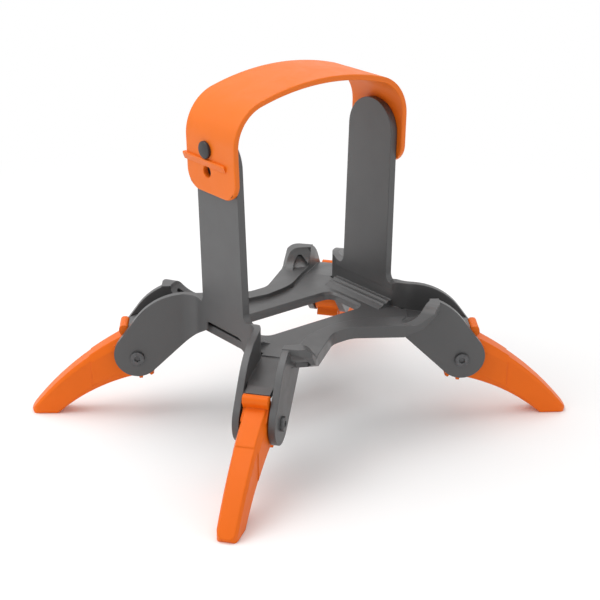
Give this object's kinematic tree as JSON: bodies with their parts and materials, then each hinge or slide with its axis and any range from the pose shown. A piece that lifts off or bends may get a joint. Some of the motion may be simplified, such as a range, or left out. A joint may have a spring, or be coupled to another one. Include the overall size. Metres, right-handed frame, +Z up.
{
  "type": "drone landing gear",
  "caption": "Folding landing gear for a small camera drone: moulded cradle with upright plates, soft carry strap over the top and splayed legs that fold in on pivots.",
  "frame": {"origin": "on the ground under the middle of the tray, level with the soles of the four legs", "axes": "+X across the two upright plates, +Y along the plates from front to rear, +Z up"},
  "size_m": [0.1628, 0.1296, 0.1328],
  "materials": {
    "frame_plastic": "satin dark grey moulded plastic with a fine spark-eroded texture",
    "orange_plastic": "satin orange moulded plastic",
    "orange_elastomer": "soft matte orange elastomer",
    "dark_plastic": "satin near-black moulded plastic",
    "pivot_steel": "grey coated steel with a satin sheen"
  },
  "bodies": {
    "cradle": {"cradle_frame": "frame_plastic", "carry_strap": "orange_elastomer", "strap_stud_left": "dark_plastic", "strap_stud_right": "dark_plastic", "pivot_barrel_front_left": "pivot_steel", "pivot_screw_front_left": "pivot_steel", "pivot_barrel_front_right": "pivot_steel", "pivot_screw_front_right": "pivot_steel", "pivot_barrel_rear_left": "pivot_steel", "pivot_screw_rear_left": "pivot_steel", "pivot_barrel_rear_right": "pivot_steel", "pivot_screw_rear_right": "pivot_steel"},
    "leg_front_left": {"leg_front_left": "orange_plastic"},
    "leg_front_right": {"leg_front_right": "orange_plastic"},
    "leg_rear_left": {"leg_rear_left": "orange_plastic"},
    "leg_rear_right": {"leg_rear_right": "orange_plastic"}
  },
  "joints": [
    {"name": "fold_front_left", "type": "hinge", "parent": "cradle", "child": "leg_front_left", "pos_m": [-0.0471, -0.0383, 0.0245], "axis": [0.5948, -0.8039, 0], "range_deg": [0, 150]},
    {"name": "fold_front_right", "type": "hinge", "parent": "cradle", "child": "leg_front_right", "pos_m": [0.0471, -0.0383, 0.0245], "axis": [0.5948, 0.8039, 0], "range_deg": [0, 150]},
    {"name": "fold_rear_left", "type": "hinge", "parent": "cradle", "child": "leg_rear_left", "pos_m": [-0.0471, 0.0383, 0.0245], "axis": [-0.5948, -0.8039, 0], "range_deg": [0, 150]},
    {"name": "fold_rear_right", "type": "hinge", "parent": "cradle", "child": "leg_rear_right", "pos_m": [0.0471, 0.0383, 0.0245], "axis": [-0.5948, 0.8039, 0], "range_deg": [0, 150]}
  ]
}
